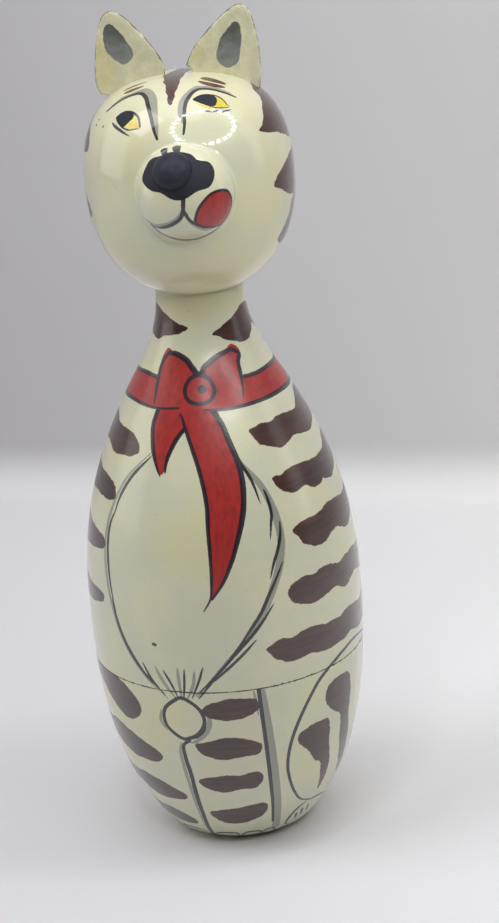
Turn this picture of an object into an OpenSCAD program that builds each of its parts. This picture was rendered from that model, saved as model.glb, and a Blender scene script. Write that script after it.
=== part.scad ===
// Seated cat, a turned wooden container: a cup with a spigot below, a hollow
// body that lifts off it, and a round head pegged on the neck.
// Millimetres, +Z up. The origin is the centre of the flat foot.
// -Y is where the painted front legs point; the face is turned to the cat's left.

/* [Body] */
// Radius of the flat foot
foot_r = 29; // [27:1:31]
// Height of the seam between cup and body
seam_z = 90; // [84:1:96]
// Radius of the neck just under the head
neck_r = 19.7; // [18.5:0.1:21]
// Height of the flat top of the neck
neck_z = 263; // [260:1:266]
// Thickness of the cup's wall
cup_wall = 9; // [7:0.5:11]
// Thickness of the hollow body's wall
body_wall = 10; // [8.5:0.5:12]
// Thickness of the cup's floor
floor_t = 13; // [10:1:18]
// Height of the hollow's domed roof
roof_z = 212; // [200:1:214]

/* [Spigot] */
// Outer radius of the cup's spigot
spigot_r = 54.2; // [53:0.1:54.4]
// How far the spigot stands above the seam
spigot_h = 12; // [8:1:16]
// Thickness of the spigot's wall
spigot_wall = 5; // [4:0.5:6]
// Radial gap between spigot and socket
spigot_gap = 0.3; // [0.3:0.05:0.5]
// Bevel on the two rims that meet at the seam
rim_ease = 0.5; // [0.3:0.1:0.8]

/* [Head] */
// Largest radius of the head
head_r = 46.4; // [44:0.2:48]
// Height of the head's widest ring
head_z = 310.7; // [309:0.1:312]
// Height of the head above its widest ring
head_up = 46.8; // [45:0.2:49]
// Depth of the head below its widest ring
head_down = 51.3; // [50:0.1:53]
// Turn of the face from straight ahead, in degrees
face_turn = 17; // [0:1:25]

/* [Muzzle and nose] */
// Radius of the round muzzle
muzzle_r = 21; // [18:0.5:22]
// How far the muzzle's dome stands out of its rim
muzzle_out = 17.5; // [12:0.5:20]
// Height of the muzzle's centre
muzzle_z = 314; // [311:0.5:316]
// Distance of the muzzle's seat from the head's axis
seat_d = 40.5; // [39:0.5:41]
// Radius of the round button that makes the nose
nose_r = 8.4; // [7.5:0.1:9]
// How far up the muzzle the nose sits, in degrees
nose_rise = 46; // [40:1:48]
// How far the nose sits to the cat's right, in degrees
nose_side = 14; // [0:1:16]

/* [Ears] */
// Thickness of the ear leather
ear_t = 2.6; // [2:0.1:3]
// Clearance of the sawn slot round the leather
slot_gap = 0.1; // [0.05:0.05:0.2]
// Depth of the ear's tab in the head
tab_depth = 11; // [8:1:12]

/* [Pegs] */
// Radius of the dowel between neck and head
neck_peg_r = 8; // [6:0.5:9]
// Length of the dowel between neck and head
neck_peg_l = 64; // [50:1:66]
// Radius of the dowel behind the muzzle
muzzle_peg_r = 4; // [3:0.5:5]
// Length of the dowel behind the muzzle
muzzle_peg_l = 23; // [18:1:25]
// Radius of the peg under the nose
nose_peg_r = 2; // [1.5:0.1:2.5]
// Length of the peg under the nose
nose_peg_l = 8.5; // [7:0.5:9]
// Radial gap round a glued peg
peg_gap = 0.05; // [0.03:0.01:0.1]

/* [Hidden] */

$fn = 96;
cream = [0.85, 0.84, 0.72];
raw_wood = [0.78, 0.62, 0.42];
leather = [0.72, 0.70, 0.60];
nose_black = [0.05, 0.05, 0.08];

belly_r = 63.3;
lead_in = 1;          // bevel on rims and peg ends
end_gap = 1;          // room left past the end of a peg
head_square_up = 2.6; // roundness of the crown: 2 is a true ball, more is squarer
head_square_down = 2.25;

// Height and radius of the turned outside, from the foot to the top of the neck
body_outline = [
    [0, foot_r], [4, 34.5], [14, 42.2], [34, 52.4], [60, 59.4], [85, 62.5],
    [110, belly_r], [135, 62.6], [160, 58.8], [185, 51.2], [210, 39.6],
    [228, 29.4], [240, 23.6], [251, 20.6], [neck_z, neck_r]];

// A round curve through three neighbouring values, and the two that flank them
function blend(a, b, c, d, t) =
    0.5 * (2 * b + (c - a) * t + (2 * a - 5 * b + 4 * c - d) * t * t
           + (3 * b - a - 3 * c + d) * t * t * t);
function at(list, i) = list[min(max(i, 0), len(list) - 1)];
function smooth(list, steps) = [
    for (i = [0:len(list) - 2]) for (k = [0:steps - 1])
        blend(at(list, i - 1), list[i], list[i + 1], at(list, i + 2), k / steps),
    list[len(list) - 1]];

outline = smooth(body_outline, 4);
function outer_r(z) = lookup(z, outline);
// Outline points more than 1 mm inside two heights, moved in by a wall
function between(z0, z1, wall) = [for (p = outline) if (p[0] > z0 + 1 && p[0] < z1 - 1)
    [p[1] - wall, p[0]]];

// Head outline, from the top of the neck to the crown
function head_radius(z) =
    let(up = z > head_z, reach = up ? head_up : head_down, n = up ? head_square_up : head_square_down)
    head_r * pow(max(0, 1 - pow(abs(z - head_z) / reach, n)), 1 / n);
head_low = asin((head_z - neck_z) / head_down); // angle from the widest ring to the neck
head_points = [
    for (a = [-head_low:(90 + head_low) / 40:90.01])
        let(z = head_z + (a < 0 ? head_down : head_up) * sin(min(a, 90)))
        [a > 89.9 ? 0 : head_radius(z), z]];

mouth_r = spigot_r - spigot_wall;
seam_r = outer_r(seam_z);
socket_r = spigot_r + spigot_gap;

// Turned wooden cup with the front paws and haunches on it
module base_cup() {
    cup_low = floor_t + 6;
    color(cream) rotate_extrude() difference() {
        polygon(concat(
            [[0, 0], [foot_r - lead_in, 0], [foot_r, lead_in]],
            between(0, seam_z, 0),
            [[seam_r, seam_z - rim_ease], [seam_r - rim_ease, seam_z], [spigot_r, seam_z],
             [spigot_r, seam_z + spigot_h - lead_in], [spigot_r - lead_in, seam_z + spigot_h],
             [0, seam_z + spigot_h]]));
        polygon(concat(
            [[0, floor_t], [outer_r(cup_low) - cup_wall - 6, floor_t]],
            [for (p = between(cup_low, seam_z, cup_wall)) [min(p[0], mouth_r), p[1]]],
            [[mouth_r, seam_z], [mouth_r, seam_z + spigot_h + 1], [0, seam_z + spigot_h + 1]]));
    }
}

// Hollow turned body, closed by the solid neck
module body_shell() {
    socket_top = seam_z + spigot_h + end_gap;
    shoulder_z = roof_z - 14;
    color(cream) difference() {
        rotate_extrude() polygon(concat(
            [[0, seam_z], [seam_r - rim_ease, seam_z], [seam_r, seam_z + rim_ease]],
            between(seam_z, neck_z, 0),
            [[neck_r, neck_z], [0, neck_z]]));
        rotate_extrude() polygon(concat(
            [[0, seam_z - 1], [socket_r, seam_z - 1], [socket_r, socket_top]],
            between(socket_top, shoulder_z, body_wall),
            [[outer_r(shoulder_z) - body_wall, shoulder_z],
             [outer_r(shoulder_z) - body_wall - 8, roof_z - 4], [12, roof_z], [0, roof_z]]));
        translate([0, 0, neck_z - neck_peg_l / 2 - end_gap])
            cylinder(r = neck_peg_r + peg_gap, h = neck_peg_l);
    }
}

// A straight peg with bevelled ends, its middle at the origin
module peg(r, l) {
    rotate_extrude() polygon([
        [0, -l / 2], [r - lead_in / 2, -l / 2], [r, lead_in / 2 - l / 2],
        [r, l / 2 - lead_in / 2], [r - lead_in / 2, l / 2], [0, l / 2]]);
}

module neck_dowel() {
    color(raw_wood) translate([0, 0, neck_z]) peg(neck_peg_r, neck_peg_l);
}

// Children drawn along +Z come out along the face, from the head's axis
module on_face() {
    rotate([0, 0, face_turn]) translate([0, 0, muzzle_z]) rotate([90, 0, 0]) children();
}

rim_d = seat_d + 1.5; // the muzzle's short straight rim ends here
nose_seat = 15.6;     // from the middle of that rim to the nose's flat back
nose_collar = 2.6;    // straight part of the nose, sunk in the muzzle
nose_out = 6.4;       // height of the nose's dome above that
// Children drawn along +Z come out of the muzzle where the nose sits
module on_nose() {
    on_face() translate([0, 0, rim_d]) rotate([-nose_rise, 0, 0])
        rotate([0, -nose_side, 0]) translate([0, 0, nose_seat]) children();
}

// Turned head with its seats for muzzle, dowels and ears
module head_ball() {
    color(cream) difference() {
        rotate_extrude() polygon(concat([[0, neck_z]], head_points));
        translate([0, 0, neck_z - 1])
            cylinder(r = neck_peg_r + peg_gap, h = neck_peg_l / 2 + end_gap + 1);
        on_face() translate([0, 0, seat_d]) cylinder(r = muzzle_r + peg_gap, h = 30);
        on_face() translate([0, 0, seat_d - muzzle_peg_l / 2 - end_gap])
            cylinder(r = muzzle_peg_r + peg_gap, h = muzzle_peg_l);
        in_ear_plane(ear_t + 2 * slot_gap) polygon(slot_outline(left_slot, slot_gap));
        in_ear_plane(ear_t + 2 * slot_gap) polygon(slot_outline(right_slot, slot_gap));
    }
}

// Turned half-ball that carries nose, mouth and tongue
module muzzle() {
    dome = [for (a = [0:5:85]) [muzzle_r * cos(a), rim_d + muzzle_out * sin(a)]];
    color(cream) difference() {
        on_face() rotate_extrude() polygon(concat(
            [[0, seat_d], [muzzle_r, seat_d]], dome, [[0, rim_d + muzzle_out]]));
        on_face() translate([0, 0, seat_d - 1])
            cylinder(r = muzzle_peg_r + peg_gap, h = muzzle_peg_l / 2 + end_gap + 1);
        on_nose() cylinder(r = nose_r + peg_gap, h = 15);
        on_nose() translate([0, 0, -nose_peg_l / 2 - end_gap])
            cylinder(r = nose_peg_r + peg_gap, h = nose_peg_l);
    }
}

module muzzle_dowel() {
    color(raw_wood) on_face() translate([0, 0, seat_d]) peg(muzzle_peg_r, muzzle_peg_l);
}

// Turned button glued in the muzzle
module nose() {
    dome = [for (a = [0:9:81]) [nose_r * cos(a), nose_collar + nose_out * sin(a)]];
    color(nose_black) on_nose() difference() {
        rotate_extrude() polygon(concat([[0, 0], [nose_r, 0]], dome, [[0, nose_collar + nose_out]]));
        translate([0, 0, -1]) cylinder(r = nose_peg_r + peg_gap, h = nose_peg_l / 2 + end_gap + 1);
    }
}

module nose_peg() {
    color(raw_wood) on_nose() peg(nose_peg_r, nose_peg_l);
}

// Sideways place and height of each ear's free edge, from its inner foot over the tip
left_edge = [
    [-6.6, 359.5], [-8.6, 365], [-13, 372], [-18.6, 379], [-23.5, 384.2], [-28.5, 386.2],
    [-32.4, 383.8], [-35.2, 375], [-37, 364], [-37.2, 355], [-35.4, 350.6]];
right_edge = [
    [2.6, 360.6], [4.4, 364.4], [8, 369.8], [15.6, 377.6], [23, 383.6], [28, 385.4],
    [32, 382], [34, 373], [35, 363], [34.4, 352], [34, 348.6]];
// Inner and outer end of each saw cut at the head's skin
left_slot = [[-7, 358.4], [-32, 350]];
right_slot = [[5, 358.8], [33.4, 348]];

// A saw cut's outline, open at the top and a little larger than the tab by a gap
function slot_outline(ends, gap) =
    let(s = ends[0][0] < ends[1][0] ? 1 : -1, top = head_z + head_up + 5) [
    [ends[0][0] - s * gap, top], [ends[0][0] - s * gap, ends[0][1] - tab_depth - gap],
    [ends[1][0] + s * gap, ends[1][1] - tab_depth - gap], [ends[1][0] + s * gap, top]];

module in_ear_plane(thick) {
    rotate([0, 0, face_turn]) translate([0, thick / 2, 0]) rotate([90, 0, 0])
        linear_extrude(height = thick) children();
}

// Thick leather ear: its free edge, then the tab that is glued in the saw cut
module ear(edge, slot) {
    free = smooth(edge, 3);
    color(leather) in_ear_plane(ear_t) polygon(concat(free, [
        [slot[1][0], slot[1][1]],
        [slot[1][0], slot[1][1] - tab_depth],
        [slot[0][0], slot[0][1] - tab_depth],
        [slot[0][0], slot[0][1]]]));
}

// Left and right are as seen from the front
module ear_left() { ear(left_edge, left_slot); }
module ear_right() { ear(right_edge, right_slot); }

base_cup();
body_shell();
neck_dowel();
head_ball();
muzzle();
muzzle_dowel();
nose();
nose_peg();
ear_left();
ear_right();
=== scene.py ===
import math

import bpy
import numpy as np
from mathutils import Matrix, Vector


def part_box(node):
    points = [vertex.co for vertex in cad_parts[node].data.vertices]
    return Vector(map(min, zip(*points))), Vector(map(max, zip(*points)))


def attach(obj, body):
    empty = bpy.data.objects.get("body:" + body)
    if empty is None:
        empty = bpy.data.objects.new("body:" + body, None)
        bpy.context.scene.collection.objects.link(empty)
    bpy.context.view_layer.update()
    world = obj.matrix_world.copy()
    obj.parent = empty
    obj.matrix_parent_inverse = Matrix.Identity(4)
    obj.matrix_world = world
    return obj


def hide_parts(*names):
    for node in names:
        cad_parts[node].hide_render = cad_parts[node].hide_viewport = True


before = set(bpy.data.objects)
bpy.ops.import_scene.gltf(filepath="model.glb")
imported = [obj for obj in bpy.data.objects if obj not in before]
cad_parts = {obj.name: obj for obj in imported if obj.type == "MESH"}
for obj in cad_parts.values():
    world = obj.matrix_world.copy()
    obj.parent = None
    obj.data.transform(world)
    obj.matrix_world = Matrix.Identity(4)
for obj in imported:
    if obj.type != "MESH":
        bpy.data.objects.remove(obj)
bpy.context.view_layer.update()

# A seated cat turned in wood: a cup with a spigot, a hollow body that lifts off it, a round
# head with a turned muzzle and nose, and two leather ears. Painted by brush and varnished.
# Lengths are metres; brush marks are given in degrees round the axis from the cat's front,
# towards its left, and in millimetres up, and are turned into metres when they are laid on.

MM = 0.001
FAR = 8.0 * MM         # a point this far from a brush mark counts as bare of it
SKIN_SLACK = 0.3 * MM  # a point this near a turned outline lies on it
PAIRS = 2000000        # points times line pieces that are measured in one go
RING_GAP = 6.6 * MM    # outer rings of a turned node are never further apart
INNER_WALL = 6.5 * MM  # a ring this much smaller than its neighbours is an inner one


def middle(node):
    low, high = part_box(node)
    return (low + high) / 2


# ---------------------------------------------------------------- places taken from the frame

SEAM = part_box("body_shell")[0].z
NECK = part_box("body_shell")[1].z
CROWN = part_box("head_ball")[1].z
FOOT = 29.0 * MM
PEG_PLAY = 0.05 * MM
UP = Vector((0, 0, 1))
muzzle_seat = middle("muzzle_dowel")
FACE = Vector((muzzle_seat.x, muzzle_seat.y, 0)).normalized()
ACROSS = Vector((-FACE.y, FACE.x, 0))  # to the right, seen from the front
MUZZLE_R = 21.0 * MM
MUZZLE_RIM = 1.5 * MM
MUZZLE_OUT = 17.5 * MM
rim_middle = muzzle_seat + FACE * MUZZLE_RIM
nose_seat = middle("nose_peg")
NOSE_AXIS = (nose_seat - rim_middle).normalized()
NOSE_R = 8.4 * MM
NOSE_COLLAR = 2.6 * MM
NOSE_OUT = 6.4 * MM


def ring_radii(node, low, high):
    """Heights and outer radii of the rings that the turned node has between two heights."""
    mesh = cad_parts[node].data
    co = np.zeros(len(mesh.vertices) * 3)
    mesh.vertices.foreach_get("co", co)
    co = co.reshape(-1, 3)
    height = np.round(co[:, 2], 6)
    radius = np.hypot(co[:, 0], co[:, 1])
    rings = np.array([(z, radius[height == z].max()) for z in np.unique(height)
                      if low <= z <= high])
    widest = [rings[np.abs(rings[:, 0] - z) < RING_GAP, 1].max() for z in rings[:, 0]]
    return rings[rings[:, 1] > np.array(widest) - INNER_WALL]


def eased(knots, step):
    """A smooth curve through (height, radius) knots, as rows one step apart."""
    z, r = knots[:, 0], knots[:, 1]
    slope = np.gradient(r, z)
    rows = np.append(np.arange(z[0], z[-1] - step / 2, step), z[-1])
    i = np.clip(np.searchsorted(z, rows, side="right") - 1, 0, len(z) - 2)
    gap = z[i + 1] - z[i]
    t = (rows - z[i]) / gap
    radius = ((2 * t**3 - 3 * t**2 + 1) * r[i] + (t**3 - 2 * t**2 + t) * gap * slope[i]
              + (3 * t**2 - 2 * t**3) * r[i + 1] + (t**3 - t**2) * gap * slope[i + 1])
    return np.stack([rows, radius], 1)


def dome(radius, height, start, turns):
    """Points (height, radius) over a dome, from its rim to its top."""
    angle = np.linspace(0, math.pi / 2, turns)
    return np.stack([start + height * np.sin(angle), radius * np.cos(angle)], 1)


# ---------------------------------------------------------------- turning and cutting

def pick_none():
    bpy.ops.object.select_all(action="DESELECT")


def pick(piece):
    """Makes the piece the only selected one."""
    pick_none()
    piece.select_set(True)
    bpy.context.view_layer.objects.active = piece


def close_edit():
    """Points every face outward and leaves edit mode."""
    bpy.ops.mesh.select_all(action="SELECT")
    bpy.ops.mesh.normals_make_consistent(inside=False)
    bpy.ops.object.mode_set(mode="OBJECT")


def work(piece, name, kind, **settings):
    """Puts a modifier on the piece and applies it."""
    tool = piece.modifiers.new(name, kind)
    for key, value in settings.items():
        setattr(tool, key, value)
    bpy.ops.object.modifier_apply(modifier=tool.name)


def first_point(name, place):
    """A piece that is a single selected point, left in edit mode."""
    pick_none()
    bpy.ops.mesh.primitive_plane_add(size=MM, location=(0, 0, 0))
    piece = bpy.context.object
    piece.name = name
    piece.data.name = name
    bpy.ops.object.mode_set(mode="EDIT")
    bpy.ops.mesh.select_all(action="SELECT")
    bpy.ops.mesh.merge(type="CENTER")
    bpy.ops.transform.translate(value=place)
    return piece


def drawn_line(name, places):
    """A piece that is one bent line, made by extruding its point from place to place."""
    piece = first_point(name, places[0])
    for before, after in zip(places, places[1:]):
        bpy.ops.mesh.extrude_vertices_move(TRANSFORM_OT_translate={"value": after - before})
    return piece


def turned(name, path, steps, foot=Vector((0, 0, 0)), axis=UP, side=Vector((1, 0, 0))):
    """A closed turned piece: path holds (height along the axis, radius), and is spun round."""
    piece = drawn_line(name, [foot + axis * h + side * r for h, r in path])
    bpy.ops.mesh.select_all(action="SELECT")
    bpy.ops.mesh.spin(steps=steps, angle=math.tau, center=foot, axis=axis)
    bpy.ops.mesh.select_all(action="SELECT")
    bpy.ops.mesh.remove_doubles(threshold=MM / 500)
    close_edit()
    return piece


def points_of(piece):
    co = np.zeros(len(piece.data.vertices) * 3)
    piece.data.vertices.foreach_get("co", co)
    return co.reshape(-1, 3)


def move_points(piece, co):
    piece.data.vertices.foreach_set("co", co.ravel())
    piece.data.update()


def cut_away(piece, tool):
    """Takes the tool's space out of the piece, and throws the tool away."""
    pick(piece)
    work(piece, "cut", "BOOLEAN", object=tool, operation="DIFFERENCE", solver="EXACT")
    bpy.data.objects.remove(tool)


def smoothed_edges(piece, degrees):
    pick(piece)
    bpy.ops.object.shade_smooth_by_angle(angle=math.radians(degrees))


# ---------------------------------------------------------------- brush marks

def rounded(points, closed, steps=6):
    """A smooth line through given points."""
    p = np.array(points, float)
    if closed:
        p = np.vstack([p[-1:], p, p[:2]])
    else:
        p = np.vstack([2 * p[0] - p[1], p, 2 * p[-1] - p[-2]])
    t = (np.arange(steps) / steps)[:, None]
    out = []
    for a, b, c, d in zip(p, p[1:], p[2:], p[3:]):
        out.append(0.5 * (2 * b + (c - a) * t + (2 * a - 5 * b + 4 * c - d) * t**2
                          + (3 * b - a - 3 * c + d) * t**3))
    if not closed:
        out.append(p[-2:-1])
    return np.vstack(out)


class Skin:
    """The painted outside of a turned piece. It knows where a brush mark's points lie on it."""

    def __init__(self, outline, foot=Vector((0, 0, 0)), across=Vector((1, 0, 0)),
                 up=Vector((0, 1, 0)), axis=UP):
        self.foot = np.array(foot)
        self.frame = np.array([across, up, axis])
        self.h, self.r = outline[:, 0], outline[:, 1]
        self.centre = (self.h[0] + self.h[-1]) / 2

    def local(self, co):
        return (co - self.foot) @ self.frame.T

    def reaches(self, q):
        """For points in the local frame: their angle up from the skin's centre, how far out
        they lie from it, how far out the skin is there, and the skin's own angles."""
        rho = np.hypot(q[:, 0], q[:, 1])
        angle = np.arctan2(q[:, 2] - self.centre, rho)
        table = np.arctan2(self.h - self.centre, self.r)
        reach = np.interp(angle, table, np.hypot(self.h - self.centre, self.r))
        return angle, np.hypot(q[:, 2] - self.centre, rho), reach, table

    def snap(self, piece, slack):
        """Puts the points that lie near the outside exactly on the turned outline."""
        q = self.local(points_of(piece))
        angle, now, reach, table = self.reaches(q)
        near = (np.abs(now - reach) < slack) & (angle > table[0]) & (angle < table[-1])
        ratio = np.where(near, reach / np.maximum(now, 1e-9), 1)[:, None]
        q[:, :2] *= ratio
        q[:, 2] = self.centre + (q[:, 2] - self.centre) * ratio[:, 0]
        move_points(piece, q @ self.frame + self.foot)

    def place(self, mark):
        """A mark's smooth line, on the skin, in the local frame."""
        line = mark["line"]
        if mark["flat"]:
            a, b = line[:, 0] * MM, line[:, 1] * MM
            rho = np.hypot(a, b)
            top = self.r.argmax()
            order = slice(None, top, -1) if top else slice(None, None, -1)
            h = np.interp(rho, self.r[order], self.h[order])
            return np.stack([a, b, h], 1)
        h = line[:, 1] * MM
        rho = np.interp(h, self.h, self.r)
        angle = np.radians(line[:, 0])
        return np.stack([rho * np.sin(angle), -rho * np.cos(angle), h], 1)

    def flat_coords(self, mark, q):
        """Where points lie in the plane that the mark was drawn in."""
        if mark["flat"]:
            return q[:, :2] / MM
        centre = mark["line"][:, 0].mean()
        angle = np.degrees(np.arctan2(q[:, 0], -q[:, 1]))
        angle = (angle - centre + 180) % 360 - 180 + centre
        return np.stack([angle, q[:, 2] / MM], 1)

    def depth(self, marks, co):
        """For each paint, how far each point lies outside its marks; negative is inside."""
        q = self.local(co)
        found = {}
        for mark in marks:
            layer = found.setdefault(mark["paint"], np.full(len(q), FAR))
            track = self.place(mark)
            width = mark["width"] * MM
            low = track.min(0) - FAR
            high = track.max(0) + FAR
            near = np.where(((q > low) & (q < high)).all(1))[0]
            for part in np.array_split(near, max(1, len(near) * len(track) // PAIRS)):
                if len(part):
                    d = distance(q[part], track, width)
                    if mark["filled"]:
                        inside = within(self.flat_coords(mark, q[part]), mark["line"])
                        d = np.where(inside, -d, d)
                    layer[part] = np.minimum(layer[part], d)
        return {paint: np.clip(d, -FAR, FAR) for paint, d in found.items()}


def distance(q, track, width):
    """Distance from points to a line, less the line's own half width there."""
    a, b = track[:-1], track[1:]
    run = b - a
    size = np.maximum((run**2).sum(1), 1e-14)
    t = np.clip(((q[:, None] - a) * run).sum(2) / size, 0, 1)
    gap = np.sqrt(((q[:, None] - a - t[:, :, None] * run)**2).sum(2))
    return (gap - width[:-1] - t * (width[1:] - width[:-1])).min(1)


def within(p, line):
    """Which points lie inside a closed outline."""
    a, b = line[:-1], line[1:]
    y = p[:, 1:2]
    spans = (a[:, 1] > y) != (b[:, 1] > y)
    rise = np.where(b[:, 1] == a[:, 1], 1e-9, b[:, 1] - a[:, 1])
    cross = a[:, 0] + (y - a[:, 1]) / rise * (b[:, 0] - a[:, 0])
    return (spans & (p[:, 0:1] < cross)).sum(1) % 2 == 1


def patch(paint, points, flat=False, steps=5):
    """A filled area of paint inside a rounded outline."""
    line = rounded(points, True, steps)
    return dict(paint=paint, line=np.vstack([line, line[:1]]), flat=flat, filled=True,
                width=np.zeros(len(line) + 1))


def stroke(paint, points, width, ends="both", flat=False, closed=False, thin=0.15):
    """One pull of the brush: width is the widest half width, in millimetres."""
    line = rounded(points, closed)
    if closed:
        line = np.vstack([line, line[:1]])
    t = np.linspace(0, 1, len(line))
    load = np.ones(len(line))
    if not closed and ends in ("both", "start"):
        load *= np.clip(t / 0.3, 0, 1)**0.6
    if not closed and ends in ("both", "end"):
        load *= np.clip((1 - t) / 0.4, 0, 1)**0.7
    return dict(paint=paint, line=line, flat=flat, filled=False,
                width=width * (thin + (1 - thin) * load))


def dot(paint, at, radius):
    """A round touch of the brush."""
    line = np.array([at, [at[0] + 0.01, at[1]]], float)
    return dict(paint=paint, line=line, flat=False, filled=False, width=np.full(2, radius))


def mirrored(marks, about):
    """The same marks on the other side of an upright line on the skin."""
    out = []
    for mark in marks:
        line = mark["line"].copy()
        line[:, 0] = 2 * about - line[:, 0]
        out.append(dict(mark, line=line))
    return out


def paint_on(piece, skin, marks, fine=1.6 * MM, finest=0.95 * MM, slack=0.25 * MM):
    """Makes the mesh finer along the edges of the paint: once near every edge, and once more
    close to the narrow marks, which are all but the brown ones."""
    for reach, spared in ((fine, None), (finest, "brown")):
        found = skin.depth([m for m in marks if m["paint"] != spared], points_of(piece))
        edge = np.minimum.reduce([np.abs(d) for d in found.values()])
        counts = np.zeros(len(piece.data.polygons), int)
        piece.data.polygons.foreach_get("loop_total", counts)
        corner = np.zeros(len(piece.data.loops), int)
        piece.data.loops.foreach_get("vertex_index", corner)
        first = np.append(0, np.cumsum(counts)[:-1])
        nearest = np.minimum.reduceat(edge[corner], first)
        outer = on_skin(skin, points_of(piece))
        outside = np.logical_and.reduceat(outer[corner], first)
        chosen_faces = (nearest < reach) & outside
        pick(piece)
        bpy.ops.object.mode_set(mode="EDIT")
        bpy.ops.mesh.select_mode(type="FACE")
        bpy.ops.mesh.select_all(action="DESELECT")
        bpy.ops.object.mode_set(mode="OBJECT")
        piece.data.polygons.foreach_set("select", chosen_faces)
        bpy.ops.object.mode_set(mode="EDIT")
        bpy.ops.mesh.subdivide(number_cuts=1)
        bpy.ops.mesh.select_mode(type="VERT")
        bpy.ops.object.mode_set(mode="OBJECT")
        skin.snap(piece, slack)


def on_skin(skin, co):
    """Which points lie on the painted outside."""
    _, now, reach, _ = skin.reaches(skin.local(co))
    return np.abs(now - reach) < SKIN_SLACK


def store(piece, name, values):
    kept = piece.data.attributes.new(name, "FLOAT", "POINT")
    kept.data.foreach_set("value", np.asarray(values, np.float32))


PAINTS = ("brown", "grey", "tick", "red", "yellow", "black", "line")


def store_paint(piece, skin, marks, beyond=FAR):
    """Writes each paint's depth in millimetres, and where the wood was left bare."""
    co = points_of(piece)
    found = skin.depth(marks, co)
    for paint in PAINTS:
        store(piece, paint, found.get(paint, np.full(len(co), FAR)) / MM)
    rho = np.hypot(*skin.local(co)[:, :2].T)
    store(piece, "bare", 1.0 - (on_skin(skin, co) | (rho > beyond)))


# ---------------------------------------------------------------- what the brush put on the body

def side_stripe(top, bottom):
    """A brown stripe: its upper edge, then its lower edge back again."""
    return patch("brown", top + bottom[::-1])


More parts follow.
